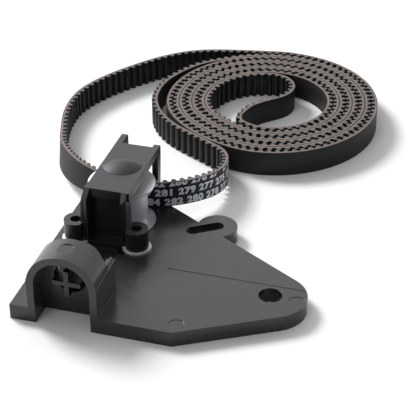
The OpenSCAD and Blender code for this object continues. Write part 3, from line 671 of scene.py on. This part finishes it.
def moulded_plastic(name, tone, rough):
    """Satin black: tone times 0.9 to 1.25 with the clouds, and roughness -0.05 to +0.07."""
    mat, tree, bsdf, obj = new_material(name, (tone,) * 3, rough, specular=0.55)
    bsdf.inputs["Specular Tint"].default_value = COOL_SHEEN
    cloud = noise(tree, obj, 45, 4, 0.55)
    grain = noise(tree, obj, 2600, 2, 0.6)
    two_tones(tree, bsdf, cloud, 0.3, 0.7,
              (tone * 0.9, tone * 0.92, tone), (tone * 1.25, tone * 1.22, tone * 1.24))
    tree.links.new(remap(tree, cloud, 0.3, 0.7, rough - 0.05, rough + 0.07),
                   bsdf.inputs["Roughness"])
    bump(tree, bsdf, grain, 0.00003, round_edges=EDGE_ROUND)
    return mat


plate_plastic = moulded_plastic("moulded_plate_plastic", 0.020, 0.25)
carriage_plastic = moulded_plastic("moulded_carriage_plastic", 0.012, 0.36)
dome_plastic = moulded_plastic("moulded_dome_plastic", 0.012, 0.58)
print("plastics:", plate_plastic.name, carriage_plastic.name, dome_plastic.name)

# %% [markdown]
# ## Belt rubber
#
# The back is ground flat, which leaves a dull black with a faint grind along the belt. The teeth are
# faced with woven nylon, so they get a fine diagonal twill and a low sheen. Where the belt was sawn,
# the rubber is paler, with drag marks, and the cords show as a warm line of fibre ends.

# %% Belt rubber
def belt_back_material():
    """Ground rubber back: fine noise squeezed along Z, as marks along the belt, and dusty patches."""
    mat, tree, bsdf, obj = new_material("belt_back_rubber", (0.014,) * 3, 0.55, specular=0.26)
    patch = noise(tree, obj, 60, 4, 0.6)
    fine = noise(tree, stretch(tree, obj, (1, 1, 6)), 900, 3, 0.6)
    two_tones(tree, bsdf, patch, 0.3, 0.7, (0.010, 0.010, 0.011), (0.017, 0.017, 0.018))
    tree.links.new(remap(tree, patch, 0.3, 0.7, 0.5, 0.62), bsdf.inputs["Roughness"])
    bump(tree, bsdf, fine, 0.00004)
    return mat


def tooth_facing_material():
    """Woven nylon facing on the teeth: a fine diagonal wave for the twill."""
    mat, tree, bsdf, obj = new_material("belt_tooth_facing", (0.012,) * 3, 0.5, specular=0.35)
    weave = tree.nodes.new("ShaderNodeTexWave")
    weave.inputs["Scale"].default_value = 1100
    weave.inputs["Distortion"].default_value = 1.5
    weave.bands_direction = "DIAGONAL"
    tree.links.new(obj, weave.inputs["Vector"])
    shade = noise(tree, obj, 160, 3, 0.6)
    two_tones(tree, bsdf, shade, 0.3, 0.7, (0.008, 0.008, 0.009), (0.016, 0.016, 0.017))
    bump(tree, bsdf, weave.outputs["Fac"], 0.00004, 0.6)
    return mat


def cut_edge_material(name, tone, warm):
    """Sawn edge: from tone to a warmer one in specks, with fine drag marks."""
    mat, tree, bsdf, obj = new_material(name, tone, 0.75, specular=0.3)
    drag = noise(tree, obj, 1500, 3, 0.7)
    spots = noise(tree, obj, 420, 3, 0.65)
    two_tones(tree, bsdf, spots, 0.35, 0.7, tone, warm)
    bump(tree, bsdf, drag, 0.00005, 0.7)
    return mat


def ink_material():
    """Pale ink that is thin in specks, where the rubber's grain took less of it."""
    mat, tree, bsdf, obj = new_material("print_ink", (0.7, 0.73, 0.82), 0.5)
    wear = noise(tree, obj, 700, 4, 0.7)
    two_tones(tree, bsdf, wear, 0.3, 0.62, (0.46, 0.49, 0.58), (0.80, 0.83, 0.92))
    return mat


back_rubber = belt_back_material()
tooth_facing = tooth_facing_material()
cut_rubber = cut_edge_material("belt_cut_edge", (0.085, 0.08, 0.078), (0.135, 0.122, 0.117))
cord_fibre = cut_edge_material("belt_cord_fibre", (0.22, 0.15, 0.125), (0.33, 0.24, 0.205))
print_ink = ink_material()

for piece, mats in ((belt_backing, (back_rubber, cut_rubber)), (belt_cord, (cord_fibre, cord_fibre)),
                    (belt_teeth, (tooth_facing, cut_rubber)), (belt_numbers, (print_ink,))):
    for mat in mats:
        piece.data.materials.append(mat)
    print(piece.name, "wears", [mat.name for mat in mats])

# %% [markdown]
# ## Metals
#
# The flanges and the guide washers are polished, and the drum is duller, as a surface that a belt
# runs on is. Their metallic value stays below 1: a full mirror would show only the dim room in
# front, and some plain reflectance keeps them pale there. The shafts, rings and screws are plain
# turned steel, the spring's steel is painted near black as painted shade, so that it stays as dark
# as the shaded housing round it, and the ball cages are brass.

# %% Metals
METAL_EDGE_ROUND = 0.12


def turned_metal(name, color, rough, grain, ring_scale=0.0, metallic=1.0):
    """Metal with fine turning marks: rings about the axle where ring_scale is given."""
    mat, tree, bsdf, obj = new_material(name, color, rough, metallic)
    if ring_scale:
        shifted = tree.nodes.new("ShaderNodeMapping")
        shifted.inputs["Location"].default_value = (-AXLE[0] * mm, -AXLE[1] * mm, 0)
        tree.links.new(obj, shifted.inputs["Vector"])
        wave = tree.nodes.new("ShaderNodeTexWave")
        wave.wave_type = "RINGS"
        wave.rings_direction = "Z"
        wave.inputs["Scale"].default_value = ring_scale
        wave.inputs["Distortion"].default_value = 0.4
        tree.links.new(shifted.outputs["Vector"], wave.inputs["Vector"])
        height = wave.outputs["Fac"]
    else:
        height = noise(tree, stretch(tree, obj, (1, 1, 0.15)), 2200, 2, 0.5)
    smear = noise(tree, obj, 120, 3, 0.6)
    tree.links.new(remap(tree, smear, 0.3, 0.7, rough * 0.8, rough * 1.3), bsdf.inputs["Roughness"])
    bump(tree, bsdf, height, grain, round_edges=METAL_EDGE_ROUND)
    return mat


polished = turned_metal("polished_pulley_steel", (0.92, 0.93, 0.95), 0.16, 0.000004, 300, 0.55)
worn_drum = turned_metal("belt_worn_drum", (0.78, 0.80, 0.86), 0.38, 0.000006, metallic=0.45)
polished_washer = turned_metal("polished_washer_steel", (0.94, 0.93, 0.90), 0.25, 0.000004,
                               metallic=0.45)
dull_steel = turned_metal("plain_steel", (0.52, 0.53, 0.55), 0.3, 0.00001)
# Painted shade: the spring's steel is near black, so that it stays as dark as the shaded housing round
# it.
spring_steel = turned_metal("spring_steel_painted_shade", (0.11, 0.11, 0.115), 0.4, 0.00001)
cage_brass = turned_metal("cage_brass", (0.62, 0.45, 0.2), 0.35, 0.00001)
print("metals:", [mat.name for mat in (polished, worn_drum, polished_washer, dull_steel,
                                        spring_steel, cage_brass)])

# %% [markdown]
# ## Who wears what
#
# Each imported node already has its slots, so a finish is put into them and the mesh isn't touched.
# Every node that isn't named here is plain steel.

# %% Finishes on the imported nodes
finish = {
    "mounting_plate": plate_plastic, "carriage": carriage_plastic,
    "pulley_drum": worn_drum, "upper_flange": polished, "lower_flange": polished,
    "upper_balls": polished, "lower_balls": polished, "guide_washers": polished_washer,
    "upper_cage": cage_brass, "lower_cage": cage_brass,
}
for name, node in nodes.items():
    mat = finish.get(name, dull_steel)
    for slot in node.material_slots:
        slot.material = mat
spring.data.materials.append(spring_steel)
dome.data.materials.append(dome_plastic)
print("nodes with a finish of their own:", len(finish), "of", len(nodes))

# %% [markdown]
# ## Floor
#
# The part lies on a pale sweep. Its colour makes it plain white where nothing shades it, and it
# keeps the soft shadow. It lies just below the part, so that the two don't flicker together.

# %% Floor
FLOOR_SIZE, FLOOR_DROP, FLOOR_TONE = 6, 0.0001, 0.86
bpy.ops.mesh.primitive_plane_add(size=FLOOR_SIZE, location=(0, 0, float(cad_low[2]) - FLOOR_DROP))
floor = bpy.context.object
floor.name = "studio_floor"
floor_mat, _, floor_bsdf, _ = new_material("studio_floor", (FLOOR_TONE,) * 3, 1.0, specular=0.0)
floor.data.materials.append(floor_mat)
print("floor at, mm:", round(floor.location.z / mm, 2))

# %% [markdown]
# ## Surroundings
#
# Black plastic shows mostly what it reflects. So the room is built into the sky by direction: a
# pale wall behind and to the left that the flat tops mirror, a weaker sky above, a dim room in
# front that keeps the upright faces dark, and one small lamp high up in front, which draws the thin
# bright lines on the upper front edges. Each term is a smooth step of the direction's height or of
# its cosine to a chosen side.

# %% Surroundings
WALL_SIDE, WALL_FADE, LOW_SKY_FADE = (-0.45, 0.893, 0.0), (-0.2, 0.7), (0.55, 0.9)
SKY_FADE = (0.25, 0.85)
LAMP_SIDE, LAMP_FADE = (-0.235, -0.535, 0.81), (0.966, 0.99)
FRONT_GLOW, WALL_GLOW, SKY_GLOW, LAMP_GLOW = 0.05, 1.26, 0.38, 2.4

world = bpy.context.scene.world or bpy.data.worlds.new("studio")
bpy.context.scene.world = world
world.use_nodes = True
sky_tree = world.node_tree
background = sky_tree.nodes["Background"]
background.inputs["Color"].default_value = (1, 1, 1, 1)
direction = sky_tree.nodes.new("ShaderNodeTexCoord").outputs["Generated"]


def math_node(kind, a, b):
    """One arithmetic node; each argument is a number or an output socket."""
    n = sky_tree.nodes.new("ShaderNodeMath")
    n.operation = kind
    for socket, value in zip(n.inputs, (a, b)):
        if isinstance(value, (int, float)):
            socket.default_value = value
        else:
            sky_tree.links.new(value, socket)
    return n.outputs["Value"]


def ramp_up(value, low, high):
    """Smooth step from 0 at low to 1 at high."""
    n = sky_tree.nodes.new("ShaderNodeMapRange")
    n.interpolation_type = "SMOOTHSTEP"
    n.inputs["From Min"].default_value = low
    n.inputs["From Max"].default_value = high
    sky_tree.links.new(value, n.inputs["Value"])
    return n.outputs["Result"]


def cosine_to(side):
    """Cosine of the angle between the direction looked in and a side."""
    n = sky_tree.nodes.new("ShaderNodeVectorMath")
    n.operation = "DOT_PRODUCT"
    n.inputs[1].default_value = side
    sky_tree.links.new(direction, n.inputs[0])
    return n.outputs["Value"]


split = sky_tree.nodes.new("ShaderNodeSeparateXYZ")
sky_tree.links.new(direction, split.inputs[0])
steepness = split.outputs["Z"]
wall = ramp_up(cosine_to(WALL_SIDE), *WALL_FADE)
low_sky = math_node("SUBTRACT", 1.0, ramp_up(steepness, *LOW_SKY_FADE))
wall_glow = math_node("MULTIPLY", math_node("MULTIPLY", wall, low_sky), WALL_GLOW)
sky_glow = math_node("MULTIPLY", ramp_up(steepness, *SKY_FADE), SKY_GLOW)
lamp_glow = math_node("MULTIPLY", ramp_up(cosine_to(LAMP_SIDE), *LAMP_FADE), LAMP_GLOW)
room_glow = math_node("ADD", math_node("ADD", wall_glow, sky_glow), FRONT_GLOW)
sky_tree.links.new(math_node("ADD", room_glow, lamp_glow), background.inputs["Strength"])
print("sky nodes:", len(sky_tree.nodes))

# %% [markdown]
# ## Key light
#
# One large disc stands to the left and a little behind, 41 degrees up, so that the shadows fall to
# the right and a little forwards. Its size against its distance sets how softly they end. Its power
# keeps the open floor white all round the part, and no more than a quarter over white.

# %% Key light
LIGHT_TARGET, LIGHT_AWAY = np.array((-60, 100, 10)), np.array((-1641, 766, 1575))
LIGHT_SIZE, LIGHT_POWER = 0.9, 63


def aim(ob, place_mm, look):
    """Put an object at a place in millimetres, with its -Z axis along look."""
    ob.location = Vector(place_mm) * mm
    ob.rotation_euler = Vector(look).to_track_quat("-Z", "Y").to_euler()


light_data = bpy.data.lights.new("key_light", "AREA")
light_data.shape = "DISK"
light_data.size = LIGHT_SIZE
light_data.energy = LIGHT_POWER
light = bpy.data.objects.new("key_light", light_data)
bpy.context.scene.collection.objects.link(light)
aim(light, LIGHT_TARGET + LIGHT_AWAY, -LIGHT_AWAY)
print("key light, m away:", round(float(np.linalg.norm(LIGHT_AWAY)) * mm, 2))

# %% [markdown]
# ## Camera
#
# A long lens, in front of the part and well above it, keeps the near and far ends at nearly one
# scale. The azimuth is how far the line of sight turns to the left of +Y, and the elevation is how
# far it looks down.

# %% Camera
CAMERA_AT, SENSOR_W, LENS = (127.3, -551.2, 418.6), 36, 121.1538
AZIMUTH, ELEVATION = math.radians(16.15), math.radians(32.42)

cam_data = bpy.data.cameras.new("camera")
cam_data.sensor_width = SENSOR_W
cam_data.lens = LENS
cam_data.clip_start, cam_data.clip_end = 0.05, 10
cam = bpy.data.objects.new("camera", cam_data)
bpy.context.scene.collection.objects.link(cam)
bpy.context.scene.camera = cam
aim(cam, CAMERA_AT, (-math.sin(AZIMUTH) * math.cos(ELEVATION),
                     math.cos(AZIMUTH) * math.cos(ELEVATION), -math.sin(ELEVATION)))
print("camera at, mm:", CAMERA_AT)

# %% [markdown]
# ## Colour
#
# The Standard view shows each colour as it is written.

# %% Colour
bpy.context.scene.view_settings.view_transform = "Standard"
